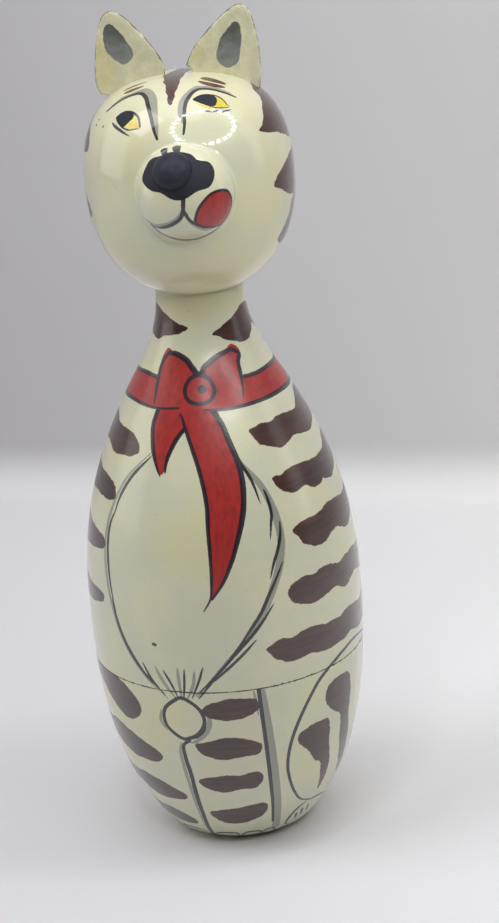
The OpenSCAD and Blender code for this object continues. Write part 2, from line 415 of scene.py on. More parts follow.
body_marks = [
    # neck blotches
    patch("brown", [(-84, 255), (-53, 256), (-30, 252.5), (-10, 249.6), (3, 248), (-10, 245.2),
                    (-30, 243.4), (-40, 241.4), (-57, 242.2), (-80, 244), (-92, 249)]),
    patch("brown", [(30, 244.6), (43, 247.4), (60, 250), (84, 254), (110, 252), (126, 246),
                    (112, 240), (97, 243.6), (84, 240), (66, 238.6), (49, 240.8), (37, 243)]),
    # ribbon round the shoulders
    patch("red", [(-170, 225.4), (-120, 225.3), (-79, 225.4), (-60, 226.4), (-43, 227.2),
                  (-26, 226.6), (0, 226), (30, 225.6), (65, 225.2), (86, 225.5), (120, 225.2),
                  (170, 225.4), (170, 214.8), (120, 215), (81, 215), (45, 214.4), (16, 214.8),
                  (0, 215), (-18, 214.8), (-48, 215.6), (-70, 215), (-120, 215), (-170, 214.8)]),
    patch("red", [(165, 225.4), (180, 225.3), (195, 225.3), (195, 214.8), (180, 214.7),
                  (165, 214.8)], steps=2),
    stroke("line", [(52, 225.2), (65, 225.1), (86, 225.6), (120, 225.2), (160, 225.6),
                    (200, 225), (240, 225.5), (280.6, 225.4), (300, 226.4), (317, 227.2),
                    (335, 226.6)], 0.95, "none"),
    stroke("line", [(16.5, 214.8), (29, 214.1), (44.5, 214.3), (63, 214.7), (81, 215),
                    (102, 214.7), (140, 215.2), (200, 214.6), (250, 215.2), (290, 215),
                    (312, 215.6), (328, 215.1), (342, 214.8), (358, 215.6)], 1.05, thin=0.4),
    # bow
    patch("red", [(-22.5, 216), (-24.3, 223), (-26.5, 229), (-27, 234.5), (-22, 238.8),
                  (-14, 237.6), (0, 235), (8, 231.5), (13, 230), (18, 231.4), (30, 234.8),
                  (42, 237.6), (50, 239), (57, 236), (53, 231.6), (50, 227.3), (48.2, 223.2),
                  (46, 216), (30, 214.4), (14, 215), (0, 215)]),
    stroke("line", [(-22.5, 216.4), (-24.3, 223), (-25.9, 228.7), (-24.6, 233.6),
                    (-19, 237.2)], 0.9, "start", thin=0.4),
    stroke("line", [(-21, 236.4), (-12.2, 236.9), (0, 234.8), (6.7, 231.6), (11, 229)], 1.3,
           "start", thin=0.4),
    stroke("line", [(16, 229), (18.6, 231.6), (29.8, 234.8), (41.8, 236.5), (49, 237.2)], 1.25,
           "end", thin=0.4),
    stroke("line", [(47, 237.2), (55, 234.7), (51.2, 231.4), (49.8, 227.3), (48.2, 223.2),
                    (45.2, 216.7)], 0.95, "end"),
    patch("line", [(6.5, 231.6), (13, 229.6), (20, 231.9), (16.5, 228.4), (13, 228),
                   (9.5, 228.4)]),
    stroke("line", [(13, 228.4), (5, 226.8), (1.6, 222.6), (5, 218.6), (13, 217.1),
                    (21, 218.4), (24.8, 222.2), (21.5, 226.6)], 0.95, closed=True),
    dot("line", (15.2, 222.8), 2.1),
    # the ribbon's short tail
    patch("red", [(-18.1, 215), (-19.3, 208.3), (-17.4, 201.7), (-14.3, 195.1), (-9.9, 188.6),
                  (-6.7, 190.5), (-6.2, 194), (-4.1, 199.1), (-0.8, 203.8), (3.2, 207.4),
                  (0.6, 214)]),
    stroke("line", [(-17.8, 214), (-19.1, 208.3), (-17.2, 201.7), (-14.1, 195.1),
                    (-9.4, 188)], 1.1, "end", thin=0.3),
    stroke("line", [(2.9, 207.2), (-1, 203.8), (-4.3, 199.1), (-6.4, 194), (-6.6, 189.4)], 1.05,
           "end", thin=0.3),
    patch("red", [(-8, 218), (8, 218), (8, 212), (3.4, 206.4), (-0.6, 206), (-5, 211)], steps=2),
    # the ribbon's long tail
    patch("red", [(-0.3, 215), (1.6, 211), (4, 206.8), (8.1, 199.3), (11.4, 191.6),
                  (13.7, 182.9), (14.7, 175.1), (14.6, 165.3), (14.8, 151.5), (14.5, 142.2),
                  (13.7, 135), (15.7, 136.8), (19.6, 142.7), (23.8, 151.7), (27.5, 161.4),
                  (30.5, 170), (32.3, 177.8), (33, 186.5), (31.9, 194.4), (29, 202.4),
                  (26.5, 208.5), (22.7, 215)]),
    stroke("line", [(-0.6, 213.4), (1.6, 211), (4, 206.8), (8.1, 199.3), (11.4, 191.6),
                    (13.7, 182.9), (14.7, 175.1), (14.6, 165.3), (14.8, 151.5), (14.5, 142.2),
                    (13.7, 135.4), (10.6, 129.6)], 0.95, thin=0.3),
    stroke("line", [(22, 214), (26.5, 208.5), (29, 202.4), (31.9, 194.4), (33, 186.5),
                    (32.3, 177.8), (30.5, 170), (27.5, 161.4), (23.8, 151.7), (19.6, 142.7),
                    (14.4, 135)], 1.3, "end", thin=0.35),
    # belly
    stroke("line", [(-15.7, 196), (-26.2, 186.7), (-32.6, 176.6), (-35.4, 167)], 0.85),
    stroke("line", [(-34.2, 171), (-37.4, 163), (-37.9, 154.8), (-36.9, 145.4), (-34.8, 134),
                    (-31.5, 120)], 0.9),
    stroke("line", [(-34.6, 134), (-32.9, 123.4), (-29.3, 113.2), (-24.1, 104.2),
                    (-17.3, 95.4), (-9.8, 88.2)], 0.9),
    stroke("grey", [(-16, 197.5), (-28.5, 187), (-35, 176.6), (-39.4, 163), (-39.8, 150),
                    (-37, 135), (-32, 118), (-27, 107), (-19, 96), (-11, 88)], 0.95),
    stroke("line", [(32.4, 194.4), (33.8, 191.7), (37.6, 184.3), (39.9, 173.6)], 0.8),
    stroke("line", [(42.6, 180), (43.6, 176), (44.1, 169.2), (42.9, 164.4), (41.3, 157.6)],
           0.75),
    stroke("line", [(47.4, 165.2), (46.2, 158.6), (43.7, 152.3), (41.1, 146.9), (39, 140.8)],
           0.8),
    stroke("line", [(45.6, 147.6), (41.6, 140.6), (37.5, 133.5), (33.6, 126.1), (29.1, 119.7),
                    (23.9, 112.2), (19, 106)], 0.85),
    stroke("line", [(39.4, 129.6), (34.2, 122.4), (28.9, 116), (22, 108.6), (13, 98),
                    (3.5, 88)], 0.85),
    stroke("line", [(31, 114.2), (26.9, 109.9), (22, 105), (15, 98.4), (9, 93)], 0.7),
    stroke("grey", [(32.4, 195), (34.6, 190.8), (39, 185.7), (42.5, 179.8), (44.5, 174.1),
                    (45.9, 168), (46.5, 161.9), (46.3, 156), (45, 150.2), (43.3, 144.6),
                    (40.5, 138.2), (37.9, 132.5), (34.4, 126), (31.2, 120.2), (27.2, 114.9),
                    (23.8, 110.8), (16, 102), (5, 88)], 1.9, thin=0.3),
    # fur at the bottom of the belly, carried over the seam
    stroke("line", [(-19.5, 103), (-15.5, 95), (-8.5, 85.8)], 0.6),
    stroke("line", [(-9.6, 100.6), (-6.6, 94.6), (-3.6, 86.6)], 0.6),
    stroke("line", [(0.2, 102), (-0.4, 94), (-1.4, 86)], 0.6),
    stroke("line", [(8.2, 103), (6, 96), (2, 86.4)], 0.6),
    stroke("line", [(16.6, 103), (11, 95), (4.6, 86)], 0.6),
    stroke("grey", [(-13.4, 102.4), (-9.6, 94), (-4.4, 86)], 0.8),
    stroke("grey", [(-2.8, 102.4), (-2.6, 95), (-2, 85)], 0.8),
    stroke("grey", [(4.4, 101), (3.4, 94), (0, 86)], 0.8),
    # the cat's left side
    patch("brown", [(42.9, 203.8), (46.6, 204.9), (52.6, 205.9), (58.2, 205.3), (62.8, 206.1),
                    (70.7, 206.6), (83, 205.6), (90, 207.6), (102, 212), (124, 211),
                    (146, 205), (132, 199), (113, 198.8), (109.7, 197.2), (98.5, 195.9),
                    (90.1, 194.8), (83, 195.2), (72.4, 196.4), (66.4, 195.6), (61.8, 194.3),
                    (57, 194.7), (52, 196.3), (46.6, 198.2)]),
    patch("brown", [(48.4, 183.1), (50.5, 184), (54.1, 183.6), (57.7, 184.8), (64.9, 185.6),
                    (72.3, 185), (78.3, 184.4), (86.8, 184.5), (95.3, 186), (107.8, 190),
                    (130, 186), (150, 180), (128, 177), (109.1, 177.1), (103.9, 175.1),
                    (97.7, 174), (89.8, 172.4), (84.3, 173.3), (81.1, 174.9), (77.8, 173.5),
                    (73.2, 173), (69.6, 174.2), (66.4, 175.8), (61.9, 174.9), (57.6, 174.8),
                    (54.1, 176.1), (51, 178.5)]),
    patch("brown", [(52.4, 159.2), (55.8, 160.9), (61.8, 162), (66.8, 162), (75, 163.8),
                    (84.8, 163.9), (92.1, 162.6), (100.1, 162.8), (112, 164), (132, 162),
                    (152, 157), (130, 152), (111, 152.3), (100.4, 150.3), (93.3, 148.3),
                    (87.7, 149.1), (80.4, 152.1), (75.7, 151.4), (70.4, 149.3), (65.8, 149),
                    (61.3, 150), (57, 152.6), (55, 155.7)]),
    patch("brown", [(45.8, 132.4), (47.4, 135), (51.1, 137.1), (55.6, 138), (59.7, 137.4),
                    (65.1, 138.8), (70.1, 138.1), (77.1, 136.4), (81.9, 137.5), (89.2, 138.1),
                    (100.8, 137.4), (120, 140), (154, 134), (140, 127), (107.5, 124.4),
                    (102.1, 122.9), (91, 126.7), (85.3, 125.2), (79.9, 123.6), (76.6, 124.6),
                    (73.1, 126.7), (69.6, 126.6), (64.4, 125.1), (59.2, 124.2), (54.2, 124.6),
                    (49.1, 126.7), (46.5, 129.8)]),
    patch("brown", [(34.1, 108.3), (36.9, 110.2), (41.7, 112.3), (46, 111.5), (49.7, 112.6),
                    (53.6, 113.4), (58.7, 113.1), (63.5, 111.9), (67.9, 112.5), (73.2, 111.8),
                    (78.2, 113.2), (86, 112.7), (95.1, 111.2), (106, 114), (126, 117),
                    (152, 110), (136, 102), (116, 101), (100.3, 99.6), (93.1, 98.5),
                    (89.2, 98.9), (82.3, 101.3), (78.5, 100.4), (72.9, 99.9), (65.5, 99.1),
                    (58.7, 99.8), (54.2, 101), (50.7, 100.5), (46.1, 99.9), (41.8, 101.1),
                    (38.1, 103.3), (35.6, 106.4)]),
    # the cat's right side
    side_stripe([(-92, 208), (-67, 207), (-52, 204.5), (-40, 203.6), (-31, 202)],
                [(-96, 196), (-80, 193), (-63, 195), (-46, 192.6), (-31, 194), (-25, 197)]),
    side_stripe([(-110, 190), (-88, 189), (-62, 184), (-48, 182.4), (-39, 180)],
                [(-112, 178), (-94, 173), (-70, 172), (-56, 173.4), (-43, 172.6), (-36, 175)]),
    side_stripe([(-118, 168), (-92, 167), (-70, 163), (-54, 158.6), (-42, 156)],
                [(-120, 158), (-98, 151), (-74, 147), (-56, 148), (-41, 151)]),
    side_stripe([(-122, 142), (-96, 141), (-72, 136), (-55, 131.4), (-42, 129.6)],
                [(-122, 130), (-98, 126), (-74, 122), (-57, 122), (-43, 125)]),
    # seen from behind: short stripes to each side of the back
    side_stripe([(-128, 206), (-142, 205), (-158, 203)], [(-128, 197), (-144, 196), (-156, 198)]),
    side_stripe([(-136, 182), (-150, 183), (-168, 178)], [(-138, 173), (-152, 171), (-166, 174)]),
    side_stripe([(-138, 158), (-154, 158), (-170, 153)], [(-140, 149), (-156, 147), (-168, 149)]),
    side_stripe([(-136, 134), (-152, 135), (-168, 130)], [(-138, 124), (-154, 123), (-166, 126)]),
    # speck of brown let fall on the belly
    dot("brown", (-12.5, 112.5), 0.9),
    dot("brown", (-11.8, 112.1), 0.7),
]

# ---------------------------------------------------------------- what the brush put on the cup

haunch = [
    stroke("line", [(101, 92.6), (92, 95), (82, 95.8), (73.3, 93.9), (67.6, 91.6), (61.5, 88.4),
                    (56.6, 84), (50, 74), (45, 63), (42.6, 52),
                    (43, 42), (47, 31), (54, 22.4), (64, 18.4)], 0.95, thin=0.35),
    patch("brown", [(62, 77), (64, 81), (71, 83), (79, 81), (81, 72), (81, 60), (85, 46),
                    (87, 30), (84, 26), (79, 36), (75, 49), (73, 62), (68, 66), (63, 71)]),
    patch("brown", [(47, 60), (50, 63.4), (58, 64.6), (64, 64), (66, 57), (66.6, 50),
                    (69, 40), (69.6, 30), (67, 23.6), (64, 32), (62, 41), (58, 44),
                    (53, 51), (48, 57)]),
    stroke("line", [(62, 18.6), (56, 16.6), (51, 12), (50, 7), (54, 4.6)], 0.85),
    stroke("line", [(55.4, 13), (57.4, 8)], 0.8),
    stroke("line", [(59.6, 14.6), (61.6, 9)], 0.8),
    stroke("line", [(64.6, 15.4), (66, 10)], 0.7),
    stroke("line", [(62, 18.6), (72, 17.6), (84, 15)], 0.7),
]

cup_marks = [mark for mark in body_marks if mark["line"][:, 1].min() < 92] + [
    # round tuft under the belly
    stroke("line", [(-2, 87), (-6.4, 85), (-10.6, 80.8), (-11.8, 75.6), (-10.2, 70.4),
                    (-4, 65.6), (1.6, 67.6), (5.4, 72), (6.4, 77), (4, 82.6)], 0.9,
           closed=True),
    stroke("line", [(-4, 65.6), (1.8, 67.4), (5.6, 71.4), (6.6, 77)], 1.1),
    stroke("grey", [(8, 80), (8.6, 75), (6.6, 69.6), (2, 65), (-1, 63.6)], 1.3),
    stroke("grey", [(-12.6, 80), (-13.6, 74), (-11, 69)], 0.8),
    # between the front legs
    stroke("line", [(-1, 64.6), (-4.6, 62), (-4.8, 54), (-4, 46), (-4, 34), (-4.6, 22),
                    (-6, 8), (-6, 0)], 1.05, "start", thin=0.4),
    stroke("grey", [(-5.4, 64), (-6.8, 58), (-6.6, 48), (-6, 36), (-6.6, 24), (-8, 10)], 0.9),
    # outer edge of the left leg, and its shade
    stroke("line", [(30, 90), (31, 74), (32.4, 56), (34.6, 34), (38, 12)], 0.95, "end",
           thin=0.6),
    stroke("grey", [(31.6, 90), (32.8, 74), (34.6, 56), (37.2, 34), (41.6, 7)], 2.0, "start",
           thin=0.5),
    stroke("grey", [(27.8, 90), (28.6, 84), (29.4, 76)], 0.7),
    # stripes on the left leg
    patch("brown", [(6, 81), (8.6, 84), (15, 86), (22, 86.2), (28.6, 85.4), (29.6, 81),
                    (28, 78.4), (22, 76), (14, 75.6), (8, 77.6)]),
    patch("brown", [(0.5, 62.4), (4, 64), (10, 65.6), (17, 66.4), (24, 64.8), (29.6, 62),
                    (30, 59), (28, 56), (20, 55.6), (14, 54.4), (8, 55.4), (3, 58)]),
    patch("brown", [(-1, 42.4), (5, 44.4), (12, 45.6), (20, 45.6), (27, 46.2), (30, 44),
                    (29.6, 40), (26, 37), (19, 37), (11, 35.4), (5, 37), (1, 39)]),
    patch("brown", [(0.6, 22.2), (7, 24), (15, 25), (23, 26.2), (30, 27), (33, 25), (33, 21),
                    (29, 17), (21, 14.6), (12, 13.8), (5, 16), (1.4, 19)]),
    # stripes on the right leg
    patch("brown", [(-74, 100), (-59, 95.6), (-45, 93), (-34, 89), (-26, 83), (-24, 77),
                    (-27, 72), (-34, 69.6), (-43, 74), (-56, 82), (-72, 88)]),
    patch("brown", [(-72, 65), (-57, 63.6), (-45, 65), (-33, 62), (-22, 57.6), (-17, 54),
                    (-20, 50), (-29, 48.6), (-41, 49), (-55, 53), (-70, 55)]),
    patch("brown", [(-62, 41), (-45, 39.4), (-32, 39.6), (-21, 37), (-10.6, 32.6), (-12, 29),
                    (-22, 27.4), (-32, 27), (-46, 31), (-60, 34)]),
    patch("brown", [(-60, 20), (-44, 19.6), (-30, 20.4), (-20, 18.4), (-12, 14.6), (-14, 11.6),
                    (-24, 10.6), (-36, 11.4), (-50, 13), (-60, 15)]),
    # toes
    stroke("line", [(-36, 4.2), (-30, 6.6), (-22, 7), (-14, 6.8), (-7, 4)], 0.85),
    stroke("line", [(-6, 4), (0, 6), (7, 6.4), (13, 6), (15, 2.6)], 0.85),
    stroke("line", [(15, 3), (20, 6), (26, 6.4), (31, 5.4), (32.6, 2)], 0.85),
    stroke("line", [(31, 4), (36, 6.4), (41, 5.8), (43, 2.6)], 0.75),
    # far edge of the haunch
    stroke("line", [(97, 92), (102, 74), (103.6, 56), (101, 40), (95, 26)], 0.9),
] + haunch + mirrored(haunch, -11)

# the tail lies curled on the back, and is only a guess
tail = [
    stroke("line", [(168, 8), (164, 24), (166, 44), (172, 62), (170, 80)], 0.85),
    stroke("line", [(186, 8), (184, 24), (186, 44), (190, 62), (188, 80)], 0.85),
    patch("brown", [(166, 18), (176, 21), (186, 18), (184, 26), (175, 29), (165, 26)]),
    patch("brown", [(166, 42), (176, 45), (187, 42), (188, 50), (178, 53), (168, 50)]),
    patch("brown", [(171, 66), (180, 69), (190, 66), (189, 74), (180, 77), (171, 74)]),
]
tail_top = [
    stroke("line", [(170, 80), (168, 96), (172, 108), (178, 113)], 0.85),
    stroke("line", [(188, 80), (188, 96), (184, 108), (178, 113)], 0.85),
    patch("brown", [(169, 96), (178, 98), (187, 96), (184, 106), (178, 112), (172, 106)]),
]
cup_marks += tail + tail_top
body_marks += [mark for mark in tail_top + haunch + mirrored(haunch, -11)
               if mark["line"][:, 1].max() > 88]

# ---------------------------------------------------------------- what the brush put on the head

head_marks = [
    # the cat's right brow, its shade, and the eye under it
    patch("grey", [(-46, 347), (-44, 351), (-38.4, 352.6), (-30.7, 354.3), (-23.6, 354.9),
                   (-13.7, 354.4), (-6.3, 353.2), (-2.2, 351.5), (0.3, 348.9), (2, 345.6),
                   (3.2, 341), (2.8, 337.6), (0.8, 340.2), (-1.1, 343.1), (-3.7, 346.3),
                   (-7, 348.9), (-12.3, 351.6), (-18.2, 352.9), (-24.9, 353.4), (-30.2, 353),
                   (-36, 352), (-40.5, 350.4)]),
    stroke("line", [(-47.2, 346), (-43.8, 348.4), (-40.5, 350.4), (-36, 352), (-30.2, 353),
                    (-24.9, 353.4), (-18.2, 352.9), (-12.3, 351.6), (-7, 348.9), (-3.7, 346.3),
                    (-1.1, 343.1), (0.8, 340.2), (2.7, 337.6)], 0.95, thin=0.55),
    stroke("tick", [(-53, 353), (-50, 354.6), (-43.5, 356.1)], 1.0, thin=0.4),
    stroke("tick", [(-46.6, 352.6), (-40.4, 354), (-34.4, 355.2)], 1.4, thin=0.4),
    patch("yellow", [(-16.8, 346.3), (-13.5, 345), (-11.6, 343.4), (-9.8, 341.8), (-15, 341.3),
                     (-22.4, 341.5), (-19.4, 343.2), (-17.4, 344.6)]),
    patch("black", [(-32, 345), (-29.4, 346.4), (-25.7, 347.4), (-20.9, 347.5), (-17.6, 346.8),
                    (-16.8, 345.4), (-18.4, 344.1), (-20.4, 342.7), (-22.4, 341.6),
                    (-26.5, 342.4), (-30.4, 343.8)]),
    stroke("line", [(-32, 344.8), (-29.5, 346.3), (-25.7, 347.2), (-21, 347.4), (-16.2, 346.8),
                    (-12.5, 345.5), (-10.5, 343.7), (-9.6, 342.3)], 0.55, "start", thin=0.5),
    stroke("line", [(-30.4, 344.1), (-27.3, 343.1), (-23.4, 341.8), (-19.7, 341.1),
                    (-16.6, 340.9), (-12.1, 341.4), (-7.6, 341.7)], 0.42),
    stroke("line", [(-34, 342.9), (-28.9, 341.5), (-23.4, 340.3), (-15.6, 338.5)], 0.68),
    dot("tick", (-51.6, 342.4), 0.5),
    dot("tick", (-51.4, 340.2), 0.6),
    dot("tick", (-41.6, 340.6), 0.6),
    # the cat's left brow, its shade, and the eye under it
    patch("grey", [(18.6, 343), (16.6, 345), (15.3, 347.2), (16.2, 350.4), (19.7, 352.5),
                   (25.8, 354), (35.1, 355), (43.9, 354.8), (52, 354.2), (58.5, 353),
                   (64, 350.6), (59.3, 351.4), (50.6, 353.2), (44.1, 353.9), (35.9, 354),
                   (29, 353.2), (24, 351.6), (21.4, 349.8), (20, 346.8)]),
    stroke("line", [(18.4, 339), (19.6, 343), (20, 346.8), (21.4, 349.8), (24, 351.6),
                    (29, 353.2), (35.9, 354), (44.1, 353.9), (50.6, 353.2), (55, 352.3),
                    (59.3, 351.2), (64, 349.4)], 0.9, thin=0.5),
    stroke("tick", [(57, 356.5), (61, 356.2), (65.6, 355.3), (69.6, 354)], 2.0, thin=0.35),
    stroke("tick", [(45.6, 356), (52, 355), (57.7, 354.2), (63.4, 353.2)], 1.7, thin=0.35),
    patch("yellow", [(45, 351.2), (49.4, 350.5), (51.6, 349), (52.2, 347.2), (50.7, 346.7),
                     (45.5, 347.1), (40.5, 347.7), (44.8, 349.2)]),
    patch("yellow", [(30, 350), (36, 348.6), (41, 347.6), (40, 346.9), (34, 348.2),
                     (29.6, 349.8)]),
    patch("black", [(27.8, 351.2), (33, 352), (39.6, 352.2), (45.6, 351.7), (47.4, 350.6),
                    (46, 349.2), (42.8, 348), (38.9, 348.2), (35.4, 349), (31, 350.1)]),
    stroke("line", [(27.4, 351.1), (33, 352), (39.3, 352.2), (45.7, 351.7), (50, 350.7),
                    (52, 349.2), (52.4, 347.7), (54, 346.6)], 0.4),
    stroke("line", [(54, 346.6), (48.1, 346.8), (43.3, 347.3), (40.1, 347.9), (35.8, 348.9)],
           0.36),
    stroke("line", [(33, 346.9), (38.8, 346.3), (43.1, 346.2), (48, 346)], 0.5),
    stroke("line", [(44, 345.4), (49, 345.6), (54, 345.6)], 0.42),
    # side patches
    patch("brown", [(67, 335.2), (72, 337.4), (76.6, 340), (79.6, 342.8), (85.6, 344.8),
                    (89.6, 347), (93, 349.6), (110, 351), (140, 347), (128, 336), (112, 325.6),
                    (92.5, 329), (83.4, 332), (71.4, 333.8)]),
    patch("brown", [(70, 311), (80, 317), (98, 322), (124, 322), (142, 316), (126, 308),
                    (106, 302), (88, 304), (78, 308)]),
    patch("brown", [(79.5, 285.5), (84, 289.6), (88, 294), (94, 302), (110, 306), (136, 300),
                    (128, 290), (108, 286), (92, 282.4), (84, 282.6)]),
    patch("brown", [(-55, 329), (-56, 334), (-61, 337.6), (-67.6, 341), (-73, 345.6),
                    (-92, 348), (-112, 344), (-104, 334), (-88, 328), (-70, 327)]),
    patch("brown", [(-53, 301), (-58, 308), (-70, 313), (-92, 314), (-108, 308), (-92, 300),
                    (-70, 297)]),
    patch("brown", [(-76, 279), (-86, 286), (-104, 289), (-122, 284), (-108, 277), (-90, 273)]),
    # forehead stripe, running back over the crown; seen from above
    patch("brown", [(5.4, -31), (3.4, -28.6), (2.8, -26), (1, -22.8), (-0.2, -19.2),
                    (-2.8, -15.8), (-3.9, -11), (-6, -6.3), (-5.5, -1), (-5, 8), (-3, 18),
                    (0.6, 27), (3, 18), (3.4, 8), (2.6, 0), (3.2, -6.6), (3.2, -11.4),
                    (4.4, -15.2), (4.9, -18.9), (5.3, -23.9), (6, -27.8)], flat=True),
    patch("brown", [(14, 22), (20, 14), (26, 12), (24, 20), (18, 28)], flat=True),
    patch("brown", [(-10, 24), (-16, 16), (-23, 12), (-22, 21), (-15, 28)], flat=True),
]

# ---------------------------------------------------------------- what the brush put on the muzzle

muzzle_marks = [
    patch("black", [(-9.3, 17.8), (-13.9, 15.6), (-16.9, 11.2), (-17.4, 7.7), (-14.2, 5),
                    (-9.8, 4.2), (-6.2, 2), (-3.5, 1.1), (0.4, 1.4), (5.6, 4.1), (11.1, 5.3),
                    (13.3, 10.1), (11.4, 14.3), (6.5, 16.1), (3.9, 18.2), (-1.5, 19.3)],
          flat=True),
    patch("line", [(-9.2, 19.2), (-6, 20.2), (-7.1, 17)], flat=True, steps=2),
    patch("line", [(-4.2, 20.5), (-0.2, 20.9), (-1.8, 18.2)], flat=True, steps=2),
    stroke("line", [(-0.4, 2.6), (-0.5, 0.6), (-0.8, -2), (-1, -4.6)], 0.95, "end", flat=True,
           thin=0.6),
    stroke("line", [(-0.9, -3.2), (-1.8, -6), (-3.9, -8.4), (-8.6, -11), (-13.4, -11.6),
                    (-17.4, -8.6)], 0.85, "end", flat=True, thin=0.4),
    stroke("line", [(-0.9, -3.2), (0.2, -6), (1.8, -8.6), (3.9, -10.4), (7, -12.6)], 0.75,
           "end", flat=True, thin=0.5),
    stroke("line", [(-15.8, -10.6), (-11.8, -14.8), (-6.8, -17.5), (-1.4, -18.8), (4.6, -18.4),
                    (10.4, -16), (15.6, -12.4)], 1.35, flat=True, thin=0.3),
    stroke("grey", [(-1.9, -3.6), (-3, -6), (-5.2, -8), (-9, -9.8), (-13.4, -10.4),
                    (-16, -8.4)], 0.75, flat=True),
    stroke("grey", [(0.6, -4.4), (1.4, -8.6), (4, -11.6), (7.6, -13.9), (11, -14.6)], 0.7,
           flat=True),
    patch("red", [(3.6, -9.2), (5.8, -3), (10.4, 1.7), (14.6, 2.8), (18, 1.6), (19.4, -2.8),
                  (18.4, -7.8), (15.4, -12.2), (11.5, -13.5), (6.6, -12.2)], flat=True),
    stroke("line", [(3.6, -9.2), (5.8, -3), (10.4, 1.7), (14.6, 2.8), (18, 1.6), (19.4, -2.8),
                    (18.4, -7.8), (15.4, -12.2), (11.5, -13.5), (6.6, -12.2)], 0.62, flat=True,
           closed=True),
]

# ---------------------------------------------------------------- shader arithmetic

def tint(red, green, blue):
    """A paint colour, 0 to 255, as a colour the shader works in."""
    def linear(c):
        c /= 255
        return c / 12.92 if c <= 0.04045 else ((c + 0.055) / 1.055)**2.4
    return (linear(red), linear(green), linear(blue), 1)


class Knob:
    """A number socket that takes part in ordinary sums."""

    def __init__(self, bench, socket):
        self.bench = bench
        self.socket = socket

    def __add__(self, other):
        return self.bench.sum("ADD", self, other)

    def __sub__(self, other):
        return self.bench.sum("SUBTRACT", self, other)

    def __rsub__(self, other):
        return self.bench.sum("SUBTRACT", other, self)

    def __mul__(self, other):
        return self.bench.sum("MULTIPLY", self, other)

    def __truediv__(self, other):
        return self.bench.sum("DIVIDE", self, other)

    def __neg__(self):
        return self.bench.sum("MULTIPLY", self, -1)

    __radd__ = __add__
    __rmul__ = __mul__


class Bench:
    """Where one finish is mixed."""

    def __init__(self, name):
        self.finish = bpy.data.materials.new(name)
        self.finish.use_nodes = True
        self.tree = self.finish.node_tree
        self.tree.nodes.clear()
        self.where = self.node("ShaderNodeTexCoord", output="Object")

    def node(self, kind, settings=None, inputs=None, output=0):
        made = self.tree.nodes.new(kind)
        for key, value in (settings or {}).items():
            setattr(made, key, value)
        for key, value in (inputs or {}).items():
            if isinstance(value, Knob):
                self.tree.links.new(value.socket, made.inputs[key])
            else:
                made.inputs[key].default_value = value
        return Knob(self, made.outputs[output]) if len(made.outputs) else made

    def sum(self, operation, a, b=0.0):
        return self.node("ShaderNodeMath", {"operation": operation}, {0: a, 1: b})

    def ramp(self, a, low, high):
        """0 below low, 1 above high, and smooth between."""
        return self.node("ShaderNodeMapRange", {"interpolation_type": "SMOOTHSTEP"},
                         {"Value": a, "From Min": low, "From Max": high})

    def blend(self, factor, a, b):
        """Colour a where factor is 0, colour b where it is 1."""
        return self.node("ShaderNodeMix", {"data_type": "RGBA"},
                         {"Factor": factor, 6: a, 7: b}, 2)

    def layer(self, name):
        return self.node("ShaderNodeAttribute", {"attribute_name": name}, None, "Fac")

    def axis(self, which):
        return self.node("ShaderNodeSeparateXYZ", None, {0: self.where}, which)

    def grain(self, size, detail, rough=0.5, stretch=(1, 1, 1), shift=0.0):
        """Noise of a size in millimetres, drawn out along some axes; about -1 to 1."""
        scale = tuple(1 / (size * MM * s) for s in stretch)
        spot = self.node("ShaderNodeMapping", None,
                         {"Vector": self.where, "Scale": scale, "Location": (shift,) * 3})
        return self.node("ShaderNodeTexNoise", {"noise_dimensions": "3D"},
                         {"Vector": spot, "Scale": 1.0, "Detail": detail,
                          "Roughness": rough}) * 2 - 1

    def bump(self, height, reach):
        """A relief so many millimetres high."""
        return self.node("ShaderNodeBump", None,
                         {"Height": height, "Distance": reach * MM, "Strength": 1.0})

    def close(self, settings):
        shader = self.node("ShaderNodeBsdfPrincipled", None, settings)
        self.node("ShaderNodeOutputMaterial", None, {"Surface": shader})
        return self.finish


# ---------------------------------------------------------------- finishes

IVORY = tint(221, 218, 184)
IVORY_YELLOW = tint(218, 213, 164)
IVORY_COOL = tint(213, 212, 186)
BROWN = tint(78, 51, 44)
BROWN_DEEP = tint(58, 39, 36)
BROWN_THIN = tint(112, 64, 50)
GREY = tint(136, 138, 128)
RED = tint(178, 30, 30)
RED_DEEP = tint(122, 22, 30)
INK = tint(27, 25, 42)
INK_THIN = tint(70, 74, 92)
PATCH_INK = tint(34, 36, 46)
NOSE_INK = tint(46, 48, 58)
NOSE_INK_PALE = tint(54, 56, 67)
TICK_BROWN = tint(92, 52, 44)
SPECK = tint(170, 160, 118)
NECK_PAINTED_SHADE = tint(186, 180, 138)
CRACK = tint(74, 56, 42)
YELLOW = tint(216, 200, 54)
YELLOW_DEEP = tint(210, 180, 44)
WOOD = tint(206, 170, 122)
WOOD_DARK = tint(166, 122, 78)
LEATHER = tint(196, 193, 160)
LEATHER_PALE = tint(220, 217, 184)
LEATHER_STAIN = tint(212, 198, 134)
EAR_GREY = tint(68, 74, 70)
EAR_GREY_HIGHLIGHT = tint(126, 129, 128)
CUT_EDGE = tint(94, 72, 52)
CUT_EDGE_DARK = tint(62, 46, 38)
PAINT_SOFT = 0.1     # how softly a paint's edge ends, in millimetres
NECK_SHADOW_REACH = 18 * MM  # painted shade under the head: the ground is darkened this far down from it
PAINT_LIFT = 0.35    # how far paint stands up in the varnish's relief


